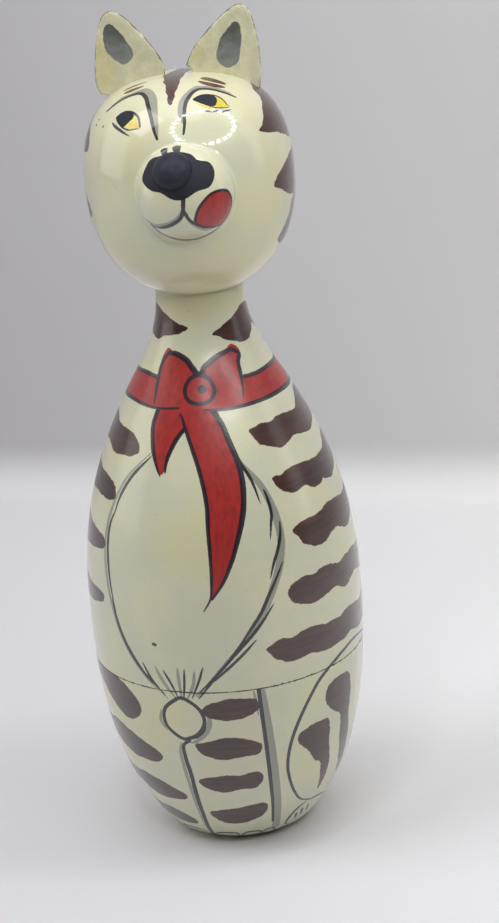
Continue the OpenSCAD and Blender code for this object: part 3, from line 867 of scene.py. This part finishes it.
def painted(name, seam=None, gloss=0.09, neck=None):
    """Ivory ground with the brush paints over it, all under a clear gloss varnish."""
    b = Bench(name)
    wobble = b.grain(7, 2)
    nick = b.grain(1.1, 2) * 0.16
    fingers = b.grain(1, 2, stretch=(7, 7, 1.3), shift=3.0)

    def mask(paint, loose, ragged=0.0):
        """Where a paint lies; a loose edge wanders, and a ragged one shows the bristles."""
        edge = b.layer(paint) + wobble * loose + nick
        if ragged:
            edge = edge + fingers * ragged
        return b.ramp(-edge, -PAINT_SOFT, PAINT_SOFT)

    streak = b.grain(1, 3, stretch=(22, 22, 0.9))
    cloud = b.grain(26, 2, shift=5.0)
    drift = b.grain(60, 1, shift=9.0)
    ground = b.blend(b.ramp(cloud + streak * 0.25, -0.35, 0.5), IVORY_COOL, IVORY)
    ground = b.blend(b.ramp(drift + cloud * 0.4, 0.0, 0.6) * 0.6, ground, IVORY_YELLOW)
    speck = b.ramp(b.grain(1.6, 0, shift=11.0), 0.58, 0.68) * 0.2
    ground = b.blend(speck, ground, SPECK)
    # painted shade under the head: the ground darkens towards the top of the neck
    if neck is not None:
        ground = b.blend(b.ramp(b.axis("Z"), neck - NECK_SHADOW_REACH, neck) * 0.5, ground,
                         NECK_PAINTED_SHADE)

    brown = mask("brown", 0.8, 0.6)
    thin = b.ramp(b.layer("brown") + fingers * 0.5, -1.6, 0.1)
    body = b.blend(b.ramp(b.grain(1, 2, stretch=(16, 16, 1.4), shift=2.0) + cloud * 0.5,
                          -0.5, 0.6), BROWN, BROWN_DEEP)
    body = b.blend(thin * b.ramp(cloud + streak * 0.7, -0.3, 0.7) * 0.8, body, BROWN_THIN)
    colour = b.blend(mask("grey", 0.15) * 0.82, ground, GREY)
    colour = b.blend(brown, colour, body)
    cloth = b.blend(b.ramp(b.grain(1.6, 3, stretch=(1, 1, 7), shift=4.0), -0.5, 0.9),
                    RED, RED_DEEP)
    red = mask("red", 0.25)
    colour = b.blend(red * 0.97, colour, cloth)
    yellow = b.blend(b.ramp(b.grain(3, 1), -0.2, 0.6), YELLOW, YELLOW_DEEP)
    colour = b.blend(mask("yellow", 0.05), colour, yellow)
    black = mask("black", 0.05)
    colour = b.blend(black, colour, PATCH_INK)
    dull = b.sum("MAXIMUM", black, red * 0.5)
    hatch = b.ramp(b.grain(1, 1, stretch=(3, 3, 0.5), shift=8.0), -0.1, 0.8) * 0.25
    colour = b.blend(mask("tick", 0.05), colour, TICK_BROWN)
    line = mask("line", 0.06)
    ink = b.blend(hatch * 0.6, INK, INK_THIN)
    colour = b.blend(line * 0.96, colour, ink)

    height = (brown + red + black + line) * PAINT_LIFT + streak * 0.25 + b.grain(2.2, 3) * 0.25
    if seam is not None:
        away = b.sum("ABSOLUTE", b.axis("Z") / MM - seam / MM)
        chip = b.ramp(b.grain(1.7, 2, shift=6.0) * 1.5 - away * 0.9, -0.08, 0.12)
        crack = b.ramp(away + b.grain(3, 2) * 0.18, 0.32, 0.12)
        worn = b.sum("MAXIMUM", chip * 0.85, crack)
        colour = b.blend(worn, colour, CRACK)
        height = height - worn * 1.2
    raw = b.layer("bare")
    rings = b.grain(1, 3, stretch=(9, 9, 0.7), shift=1.0)
    wood = b.blend(b.ramp(rings + b.grain(1, 2, stretch=(1.5, 1.5, 30)) * 0.6, -0.6, 0.7),
                   WOOD, WOOD_DARK)
    is_bare = b.ramp(raw, 0.45, 0.55)
    colour = b.blend(is_bare, colour, wood)
    rough = 0.34 + is_bare * 0.34 + black * 0.3 + b.grain(9, 3) * 0.05
    normal = b.bump(height + rings * is_bare, 0.05)
    return b.close({"Base Color": colour, "Roughness": rough, "Normal": normal,
                    "Coat Weight": (1 - is_bare) * (1 - dull), "Coat Roughness": gloss,
                    "Coat IOR": 1.5, "Specular IOR Level": 0.35})


def nose_finish():
    b = Bench("nose_black")
    cloud = b.grain(4, 3)
    colour = b.blend(b.ramp(cloud, -0.4, 0.6), NOSE_INK, NOSE_INK_PALE)
    normal = b.bump(cloud * 0.5 + b.grain(1.2, 2) * 0.3, 0.05)
    return b.close({"Base Color": colour, "Roughness": 0.5 + cloud * 0.06, "Normal": normal,
                    "Specular IOR Level": 0.12, "Coat Weight": 0.06, "Coat Roughness": 0.2})


def leather_finish():
    """Thick leather, thinly painted; cut edges and torn tips are left dark."""
    b = Bench("ear_leather")
    pore = b.grain(0.9, 4, 0.65)
    mottle = b.grain(4.5, 3)
    colour = b.blend(b.ramp(mottle + pore * 0.5, -0.7, 0.8), LEATHER, LEATHER_PALE)
    stain = b.ramp(b.layer("stain") + mottle * 2.2, 0.6, -2.0)
    colour = b.blend(stain * 0.5, colour, LEATHER_STAIN)
    inner = b.ramp(-(b.layer("grey") + b.grain(3, 3) * 0.6), -0.2, 0.2)
    # painted highlight: the inner grey is paled towards its lower end
    colour = b.blend(inner * 0.96, colour,
                     b.blend(b.ramp(b.layer("painted_shine") + mottle * 0.5 + pore * 0.2, 0.0, 1.0),
                             EAR_GREY, EAR_GREY_HIGHLIGHT))
    edge = b.ramp(b.layer("rim") + mottle * 0.7 + pore * 0.3, 0.3, 0.0)
    colour = b.blend(edge, colour,
                     b.blend(b.ramp(mottle, -0.4, 0.6), CUT_EDGE, CUT_EDGE_DARK))
    normal = b.bump(pore * 0.8 + mottle * 0.4 - edge * 0.4, 0.16)
    return b.close({"Base Color": colour, "Roughness": 0.56 + pore * 0.1, "Normal": normal,
                    "Coat Weight": 0.15 + inner * 0.6, "Coat Roughness": 0.25})


def peg_finish():
    b = Bench("bare_wood")
    fibre = b.grain(1, 3, stretch=(0.9, 0.9, 26))
    ray = b.grain(3, 2)
    colour = b.blend(b.ramp(fibre + ray * 0.4, -0.6, 0.7), WOOD, WOOD_DARK)
    return b.close({"Base Color": colour, "Roughness": 0.62 + ray * 0.06,
                    "Normal": b.bump(fibre, 0.06)})


# ---------------------------------------------------------------- the pieces

DENTS = 26
RIM_TALL = 0.75 * MM
RIM_DEEP = 1.2 * MM


def wear_rim(piece, height, radius, seed):
    """Knocks small dents in the sharp rim at the seam: radians wide, millimetres deep."""
    co = points_of(piece)
    rho = np.hypot(co[:, 0], co[:, 1])
    near = (np.abs(co[:, 2] - height) < RIM_TALL) & (rho > radius - RIM_DEEP)
    angle = np.arctan2(co[:, 1], co[:, 0])
    rng = np.random.default_rng(seed)
    dent = np.zeros(len(co))
    for _ in range(DENTS):
        centre = rng.uniform(-math.pi, math.pi)
        wide = rng.uniform(0.012, 0.04)
        deep = rng.uniform(0.1, 0.34)
        gap = np.abs((angle - centre + math.pi) % math.tau - math.pi)
        dent = np.maximum(dent, deep * np.exp(-(gap / wide)**2))
    pull = 1 - np.where(near, dent, 0) * MM / np.maximum(rho, MM)
    co[:, :2] *= pull[:, None]
    move_points(piece, co)


STEPS = 240
ROW = 1.5 * MM
RIM = 0.22 * MM

# cup
cup_rings = ring_radii("base_cup", 3.9 * MM, SEAM - 4 * MM)
seam_ring = ring_radii("body_shell", SEAM + 0.4 * MM, SEAM + 0.6 * MM)[-1]
cup_knots = np.vstack([[0.9 * MM, FOOT], cup_rings, [SEAM - RIM, seam_ring[1]]])
cup_outline = eased(cup_knots, ROW)
SPIGOT_R = 54.2 * MM
SPIGOT_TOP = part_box("base_cup")[1].z
MOUTH_R = 49.2 * MM
CUP_FLOOR = 13 * MM
CUP_WALL = 9 * MM
rise = cup_outline[:, 0]
inside = cup_outline[(rise > CUP_FLOOR + 6 * MM) & (rise < SEAM - 2 * MM)][::-4]
cup_path = ([(0, 0), (0, FOOT - 0.9 * MM)] + [tuple(p) for p in cup_outline]
            + [(SEAM - 0.15 * MM, seam_ring[1] - 0.15 * MM), (SEAM, seam_ring[1] - RIM),
               (SEAM, SPIGOT_R + 0.3 * MM), (SEAM + 0.3 * MM, SPIGOT_R),
               (SPIGOT_TOP - 1 * MM, SPIGOT_R), (SPIGOT_TOP - 0.2 * MM, SPIGOT_R - 0.3 * MM),
               (SPIGOT_TOP, SPIGOT_R - 1 * MM), (SPIGOT_TOP, MOUTH_R + 0.4 * MM),
               (SPIGOT_TOP - 0.4 * MM, MOUTH_R)]
            + [(z, min(r - CUP_WALL, MOUTH_R)) for z, r in inside]
            + [(CUP_FLOOR + 2 * MM, inside[-1][1] - CUP_WALL - 3.4 * MM),
               (CUP_FLOOR, inside[-1][1] - CUP_WALL - 7 * MM), (CUP_FLOOR, 0)])
cup = turned("cup", cup_path, STEPS)
cup_skin = Skin(cup_outline)
paint_on(cup, cup_skin, cup_marks)
wear_rim(cup, SEAM, seam_ring[1], 3)
store_paint(cup, cup_skin, cup_marks)

# hollow body
body_rings = ring_radii("body_shell", SEAM + 1.5 * MM, NECK)
body_knots = np.vstack([[SEAM + RIM, seam_ring[1]], body_rings])
body_outline = eased(body_knots, ROW)
SOCKET_R = 54.5 * MM
SOCKET_TOP = SEAM + 13 * MM
BODY_WALL = 10 * MM
SHOULDER = 198 * MM
ROOF = 212 * MM
BORE_R = 8.05 * MM
BORE_END = 230 * MM
rise = body_outline[:, 0]
hollow = body_outline[(rise > SOCKET_TOP + 2 * MM) & (rise < SHOULDER)]
body_path = ([(BORE_END, 0), (BORE_END, BORE_R), (NECK, BORE_R)]
             + [tuple(p) for p in body_outline[::-1]]
             + [(SEAM + 0.15 * MM, seam_ring[1] - 0.15 * MM), (SEAM, seam_ring[1] - RIM),
                (SEAM, SOCKET_R + 0.4 * MM), (SEAM + 0.4 * MM, SOCKET_R), (SOCKET_TOP, SOCKET_R),
                (SOCKET_TOP, hollow[0][1] - BODY_WALL)]
             + [(z, r - BODY_WALL) for z, r in hollow[::5]]
             + [(SHOULDER + 6 * MM, hollow[-1][1] - BODY_WALL - 3 * MM),
                (ROOF - 4 * MM, hollow[-1][1] - BODY_WALL - 8 * MM), (ROOF, 12 * MM),
                (ROOF, 0)])
body = turned("body", body_path, STEPS)
body_skin = Skin(body_outline)
paint_on(body, body_skin, body_marks, 1.3 * MM, 0.8 * MM)
wear_rim(body, SEAM, seam_ring[1], 5)
store_paint(body, body_skin, body_marks)

# head
HEAD_R = (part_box("head_ball")[1].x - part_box("head_ball")[0].x) / 2
HEAD_UP = 46.8 * MM
HEAD_Z = CROWN - HEAD_UP
HEAD_DOWN = 51.3 * MM
CROWN_SQUARE = 2.6  # 2 is a ball; the crown is fuller than the chin
CHIN_SQUARE = 2.25
DOWEL_HOLE = 33 * MM


def head_ring(turn, square, reach):
    """Height and radius of the head at a turn up or down from its widest ring."""
    z = HEAD_Z + reach * math.sin(turn)
    return z, HEAD_R * max(0.0, 1 - abs((z - HEAD_Z) / reach)**square)**(1 / square)


chin_turn = math.asin((NECK - HEAD_Z) / HEAD_DOWN)
chin = [head_ring(a, CHIN_SQUARE, HEAD_DOWN) for a in np.linspace(chin_turn, 0, 40)]
crown = [head_ring(a, CROWN_SQUARE, HEAD_UP) for a in np.linspace(0, math.pi / 2, 48)[1:]]
head_outline = np.array(chin + crown)
head_outline[-1, 1] = 0
hole_end = NECK + DOWEL_HOLE
head_path = [(hole_end, 0), (hole_end, BORE_R), (NECK, BORE_R)] + list(head_outline)
head = turned("head", head_path, STEPS)
head_skin = Skin(head_outline)
paint_on(head, head_skin, head_marks)


def block(name, low, high):
    """A cutting tool with square corners, set in the plane of the ears."""
    pick_none()
    bpy.ops.mesh.primitive_cube_add(size=1, location=(0, 0, 0))
    tool = bpy.context.object
    tool.name = name
    co = (points_of(tool) + 0.5) * (np.array(high) - low) + low
    move_points(tool, co @ np.array([ACROSS, FACE, UP]))
    return tool


def drill(name, start, axis, side, length, radius):
    """A round cutting tool."""
    path = [(0, 0), (0, radius), (length, radius), (length, 0)]
    return turned(name, path, 96, start, axis, side)


EAR_T = 2.6 * MM
EAR_PLAY = 0.1 * MM
SAW = EAR_T / 2 + EAR_PLAY
TAB = 11 * MM
# where each ear's cut meets the head: millimetres across and up
slots = {"left": [(-32, 350), (-7, 358.4)], "right": [(5, 358.8), (33.4, 348)]}
for ear_name, ((x0, z0), (x1, z1)) in slots.items():
    cut_away(head, block("saw_" + ear_name,
                         (x0 * MM - EAR_PLAY, -SAW, min(z0, z1) * MM - TAB),
                         (x1 * MM + EAR_PLAY, SAW, CROWN + 5 * MM)))
PEG_HOLE_R = 4.05 * MM
PEG_HOLE = 12.5 * MM
cut_away(head, drill("seat", muzzle_seat, FACE, UP, 30 * MM, MUZZLE_R + PEG_PLAY))
cut_away(head, drill("hole", muzzle_seat - FACE * PEG_HOLE, FACE, UP, 23 * MM, PEG_HOLE_R))
store_paint(head, head_skin, head_marks)

# muzzle
muzzle_dome = dome(MUZZLE_R, MUZZLE_OUT, MUZZLE_RIM, 44)
muzzle_dome[-1, 1] = 0
# paint fills the corner between muzzle and head: (height over the head, width past the rim)
FILLER = [(-0.5, 0.02), (-0.1, 2.0), (-0.01, 1.5), (0.08, 1.05), (0.22, 0.65), (0.45, 0.32),
          (0.8, 0.12)]
FILLER_TOP = 1.2 * MM
EVENED = 8 * MM
MUZZLE_BEVEL = 0.3 * MM
muzzle_path = ([(12 * MM, 0), (12 * MM, PEG_HOLE_R), (0, PEG_HOLE_R),
                (0, MUZZLE_R - MUZZLE_BEVEL), (MUZZLE_BEVEL, MUZZLE_R)]
               + [(up * MM, MUZZLE_R + out * MM) for up, out in FILLER] + list(muzzle_dome))
muzzle = turned("muzzle_ball", muzzle_path, 180, muzzle_seat, FACE, UP)
muzzle_skin = Skin(np.vstack([[MUZZLE_BEVEL, MUZZLE_R], muzzle_dome]), muzzle_seat, ACROSS,
                   UP, FACE)


def fill_corner(piece):
    """Lays the filler's rings on the head, and starts the dome above them."""
    q = muzzle_skin.local(points_of(piece))
    rho = np.hypot(q[:, 0], q[:, 1])
    head_r = np.interp(q[:, 1] + muzzle_seat.z, head_outline[:, 0], head_outline[:, 1])
    depth = np.sqrt(np.maximum(head_r**2 - q[:, 0]**2, 0)) - muzzle_seat.xy.length
    filler = rho > MUZZLE_R + 0.01 * MM
    q[filler, 2] += depth[filler]
    start = depth + FILLER_TOP
    lower = ~filler & (q[:, 2] > MUZZLE_RIM - 0.01 * MM) & (q[:, 2] < EVENED)
    raised = start + (q[:, 2] - MUZZLE_RIM) * (EVENED - start) / (EVENED - MUZZLE_RIM)
    q[:, 2] = np.where(lower, raised, q[:, 2])
    width = np.interp(q[:, 2], muzzle_dome[:, 0], muzzle_dome[:, 1])
    q[:, :2] *= np.where(lower, width / np.maximum(rho, MM), 1)[:, None]
    move_points(piece, q @ muzzle_skin.frame + muzzle_skin.foot)


fill_corner(muzzle)
paint_on(muzzle, muzzle_skin, muzzle_marks, 1.2 * MM, 0.8 * MM, 0.06 * MM)
NOSE_HOLE = 5.25 * MM
NOSE_HOLE_R = 2.05 * MM
nose_side = NOSE_AXIS.cross(ACROSS).normalized()
cut_away(muzzle, drill("nose_seat", nose_seat, NOSE_AXIS, nose_side, 15 * MM, NOSE_R + PEG_PLAY))
cut_away(muzzle, drill("nose_hole", nose_seat - NOSE_AXIS * NOSE_HOLE, NOSE_AXIS, nose_side,
                       8.5 * MM, NOSE_HOLE_R))
store_paint(muzzle, muzzle_skin, muzzle_marks, MUZZLE_R + 0.01 * MM)

# nose
nose_dome = dome(NOSE_R, NOSE_OUT, NOSE_COLLAR, 26)
nose_dome[-1, 1] = 0
nose_path = [(NOSE_HOLE, 0), (NOSE_HOLE, NOSE_HOLE_R), (0, NOSE_HOLE_R),
             (0, NOSE_R - 0.2 * MM), (0.2 * MM, NOSE_R)] + list(nose_dome)
nose = turned("nose_button", nose_path, 120, nose_seat, NOSE_AXIS, nose_side)

# ears
ear_edges = {
    "left": [(-6.6, 359.5), (-8.6, 365), (-13, 372), (-18.6, 379), (-23.5, 384.2),
             (-28.5, 386.2), (-32.4, 383.8), (-35.2, 375), (-37, 364), (-37.2, 355),
             (-35.4, 350.6)],
    "right": [(2.6, 360.6), (4.4, 364.4), (8, 369.8), (15.6, 377.6), (23, 383.6), (28, 385.4),
              (32, 382), (34, 373), (35, 363), (34.4, 352), (34, 348.6)]}
ear_grey = {
    "left": [(-31, 380), (-28, 380.6), (-24, 376), (-20.6, 370), (-20, 366.6), (-22, 364),
             (-24.4, 363), (-27, 364.4), (-31, 368.6), (-32.4, 374.4)],
    "right": [(24.6, 378), (27, 376.6), (27.4, 370), (26.4, 364), (24.8, 360), (21, 358.4),
              (17.4, 360), (16, 364), (17.8, 370), (21.4, 375)]}
ear_stain = {"left": [(-36, 352), (-31, 353), (-28, 360), (-31, 372), (-35, 378), (-37, 366)],
             "right": [(4, 361), (8, 362), (12, 368), (10, 372), (6, 367)]}


def gap_flat(p, line):
    """Distance from points to a line, both drawn in one plane, in millimetres."""
    raised = [np.hstack([q, np.zeros((len(q), 1))]) for q in (p, line)]
    return distance(*raised, np.zeros(len(line)))


EAR_TAB = 10.9     # how far the ear goes down into its cut, in millimetres
EAR_FREE = 360     # the leather bends out of its plane above this height
EAR_SQUARE = np.array([ACROSS, UP, FACE])


def ear(side):
    """A flat leather ear with its tab, its edges rubbed round."""
    edge = rounded(ear_edges[side], False, 4)
    (x0, z0), (x1, z1) = slots[side] if side == "right" else slots[side][::-1]
    ring = list(edge) + [(x1, z1), (x1, z1 - EAR_TAB), (x0, z0 - EAR_TAB), (x0, z0)]
    flat = [ACROSS * (x * MM) + UP * (z * MM) - FACE * (EAR_T / 2) for x, z in ring]
    piece = drawn_line("ear_" + side + "_leather", flat)
    bpy.ops.mesh.select_all(action="SELECT")
    bpy.ops.mesh.edge_face_add()
    bpy.ops.mesh.extrude_region_move(TRANSFORM_OT_translate={"value": FACE * EAR_T})
    close_edit()
    pick(piece)
    work(piece, "fine", "REMESH", mode="VOXEL", voxel_size=0.42 * MM)
    work(piece, "rub", "SMOOTH", factor=0.5, iterations=4)
    co = points_of(piece)
    q = co @ EAR_SQUARE.T
    flat_q = q[:, :2] / MM
    rim = gap_flat(flat_q, np.array(ring + ring[:1]))
    # the leather is not quite flat above the head
    free = np.clip((flat_q[:, 1] - EAR_FREE) / 20, 0, 1)
    middle_x = (edge[:, 0].min() + edge[:, 0].max()) / 2
    cup_in = ((flat_q[:, 0] - middle_x) / 15)**2 - 0.4
    lump = np.sin(flat_q[:, 0] * 0.31 + 1) * np.sin(flat_q[:, 1] * 0.27) * 0.18
    q[:, 2] += (cup_in * 0.6 + lump) * free * MM
    worn = np.sin(flat_q[:, 0] * 2.1) * np.sin(flat_q[:, 1] * 1.7 + 0.6) * 0.16
    thinner = np.clip(1.4 - rim, 0, 1) * (0.12 + worn)
    q[:, 2] *= 1 - thinner * np.clip(free * 3, 0, 1)
    move_points(piece, q @ EAR_SQUARE)
    store(piece, "rim", rim)
    for name, shapes in (("grey", ear_grey), ("stain", ear_stain)):
        line = patch(name, shapes[side])["line"]
        d = gap_flat(flat_q, line)
        d = np.where(within(flat_q, line), -d, d)
        if name == "grey":
            d = np.where(co @ np.array(FACE) > 0, d, FAR / MM)
        store(piece, name, d)
    # painted highlight on the inner grey, strongest at its lower end
    heights = [z for _, z in ear_grey[side]]
    high = max(heights)
    store(piece, "painted_shine", (high - flat_q[:, 1]) / (high - min(heights)))
    return piece


ears = {side: ear(side) for side in ear_edges}

# ---------------------------------------------------------------- finishes and bodies

pieces = [
    (cup, "base", "base_cup", "painted_wood", painted("cup_paint", SEAM, 0.2)),
    (body, "upper", "body_shell", "painted_wood", painted("body_paint", SEAM, 0.2, NECK)),
    (head, "upper", "head_ball", "painted_wood", painted("head_paint")),
    (muzzle, "upper", "muzzle", "painted_wood", painted("muzzle_paint")),
    (nose, "upper", "nose", "nose_black", nose_finish()),
]
leather = leather_finish()
for side, piece in ears.items():
    pieces.append((piece, "upper", "ear_" + side, "ear_leather", leather))
for piece, rider, node, slot, finish in pieces:
    piece.data.materials.clear()
    piece.data.materials.append(finish)
    smoothed_edges(piece, 60 if slot == "ear_leather" else 35)
    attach(piece, rider)
    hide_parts(node)

peg = peg_finish()
for node in ("neck_dowel", "muzzle_dowel", "nose_peg"):
    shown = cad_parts[node]
    shown.data.materials.clear()
    shown.data.materials.append(peg)

# ---------------------------------------------------------------- table, wall, camera and light

VIEW_TURN = math.radians(20)


def from_view(x, y, z):
    """A place given in the camera's own heading, turned into the object's frame."""
    return Vector((x * math.cos(VIEW_TURN) - y * math.sin(VIEW_TURN),
                   x * math.sin(VIEW_TURN) + y * math.cos(VIEW_TURN), z))


PITCH = math.radians(19.3717)
PAN = math.radians(0.8136)
ROLL = -0.0814
FOCAL = 101.92
EYE = from_view(0, -1.1299, 0.57325)
look = Vector((math.sin(PAN) * math.cos(PITCH), math.cos(PAN) * math.cos(PITCH),
               -math.sin(PITCH)))
level = Vector((math.cos(PAN), -math.sin(PAN), 0))
over = level.cross(look)
right = level * math.cos(ROLL) + over * math.sin(ROLL)
over = over * math.cos(ROLL) - level * math.sin(ROLL)
turn = [from_view(*v) for v in (right, over, -look)]
lens = bpy.data.cameras.new("camera")
lens.sensor_fit = "AUTO"
lens.sensor_width = 36
lens.lens = FOCAL
lens.clip_start = 0.05
lens.clip_end = 50
camera = bpy.data.objects.new("camera", lens)
bpy.context.scene.collection.objects.link(camera)
pose = Matrix(turn).transposed().to_4x4()
pose.translation = EYE
camera.matrix_world = pose
bpy.context.scene.camera = camera


WALL_YAW = math.radians(-14.8)
WALL_BACK = 0.412
WALL_CURVE = 0.03
WALL_TOP = 4.0
TABLE_FRONT = -3.0
SWEEP_HALF = 6.0


def backdrop():
    """A pale table that bends up into a greyer wall behind."""
    profile = [(TABLE_FRONT, 0.0)]
    profile += [(WALL_BACK + WALL_CURVE * math.sin(a), WALL_CURVE - WALL_CURVE * math.cos(a))
                for a in np.linspace(0, math.pi / 2, 16)]
    profile += [(WALL_BACK + WALL_CURVE, WALL_TOP)]
    sheet = drawn_line("sweep", [Vector((-SWEEP_HALF, y, z)) for y, z in profile])
    bpy.ops.mesh.select_all(action="SELECT")
    bpy.ops.mesh.extrude_region_move(TRANSFORM_OT_translate={"value": (2 * SWEEP_HALF, 0, 0)})
    close_edit()
    co = points_of(sheet)
    heading = VIEW_TURN + WALL_YAW
    spin = np.array([[math.cos(heading), math.sin(heading), 0],
                     [-math.sin(heading), math.cos(heading), 0], [0, 0, 1]])
    move_points(sheet, co @ spin)
    bpy.ops.object.shade_smooth()
    return sheet


sweep = backdrop()
b = Bench("sweep")
fade = b.ramp(b.axis("Z"), 0.0, WALL_CURVE)
paper = b.grain(3, 3)
# painted light: the table and the wall are paler to the right, and the table paler further back,
# where the lamps fall
sideways = b.axis("X") * math.cos(VIEW_TURN) + b.axis("Y") * math.sin(VIEW_TURN)
away = b.axis("Y") * math.cos(VIEW_TURN) - b.axis("X") * math.sin(VIEW_TURN)
table = b.blend(b.ramp(sideways + away * 0.35, -0.25, 0.42), tint(224, 223, 228),
                tint(250, 250, 251))
wall = b.blend(b.ramp(sideways, -0.35, 0.35), tint(193, 191, 193), tint(224, 223, 224))
colour = b.blend(fade, table, wall)
colour = b.blend(b.ramp(paper, -0.6, 0.8) * 0.03, colour, tint(200, 200, 206))
sweep.data.materials.append(b.close({"Base Color": colour, "Roughness": 0.75}))


def softbox(name, at, target, size, power):
    """A flat light that hangs at one place and faces another, both in the camera's heading."""
    light = bpy.data.lights.new(name, "AREA")
    light.shape = "RECTANGLE"
    light.size, light.size_y = size
    light.energy = power
    lamp = bpy.data.objects.new(name, light)
    bpy.context.scene.collection.objects.link(lamp)
    lamp.location = from_view(*at)
    lamp.rotation_mode = "QUATERNION"
    lamp.rotation_quaternion = (from_view(*target) - lamp.location).to_track_quat("-Z", "Y")


softbox("top", (0, 0, 1.9), (0, 0, 0.2), (1.2, 1.2), 6.6)
softbox("top_left", (-1.0, -0.2, 1.6), (0, 0, 0.2), (0.9, 0.9), 8.8)
softbox("top_right", (1.0, -0.1, 1.6), (0, 0, 0.2), (0.9, 0.9), 1.9)
softbox("back_left", (-1.4, 1.0, 1.2), (-0.3, 0.3, 0.0), (0.8, 0.8), 2.1)
softbox("left_window", (-1.8, 0.1, 0.7), (0, 0, 0.2), (1.2, 1.2), 5.6)
softbox("right_window", (1.8, 0.1, 0.7), (0, 0, 0.2), (1.2, 1.2), 4.5)

# a round tube lamp close over the head, as a ring of small lights
LAMP_AWAY = 0.55
LAMP_WIDE = 0.33
LAMP_TALL = 0.245
LAMP_STEPS = 24
LAMP_POWER = 3.2
lamp_aim = Vector((0, 0, 0.31))
lamp_place = lamp_aim + Vector((0.30, -0.55, 0.78)).normalized() * LAMP_AWAY
lamp_turn = (lamp_aim - lamp_place).to_track_quat("-Z", "Y")
for i in range(LAMP_STEPS):
    angle = math.tau * i / LAMP_STEPS
    spot = Vector((LAMP_WIDE * math.cos(angle), LAMP_TALL * math.sin(angle), 0))
    softbox("ring_lamp", lamp_place + lamp_turn @ spot, lamp_aim, (0.046, 0.036),
            LAMP_POWER / LAMP_STEPS)

world = bpy.data.worlds.new("room")
bpy.context.scene.world = world
world.use_nodes = True
room = world.node_tree.nodes["Background"].inputs
room["Color"].default_value = (0.96, 0.97, 1.0, 1)
room["Strength"].default_value = 0.01
bpy.context.scene.view_settings.view_transform = "Standard"
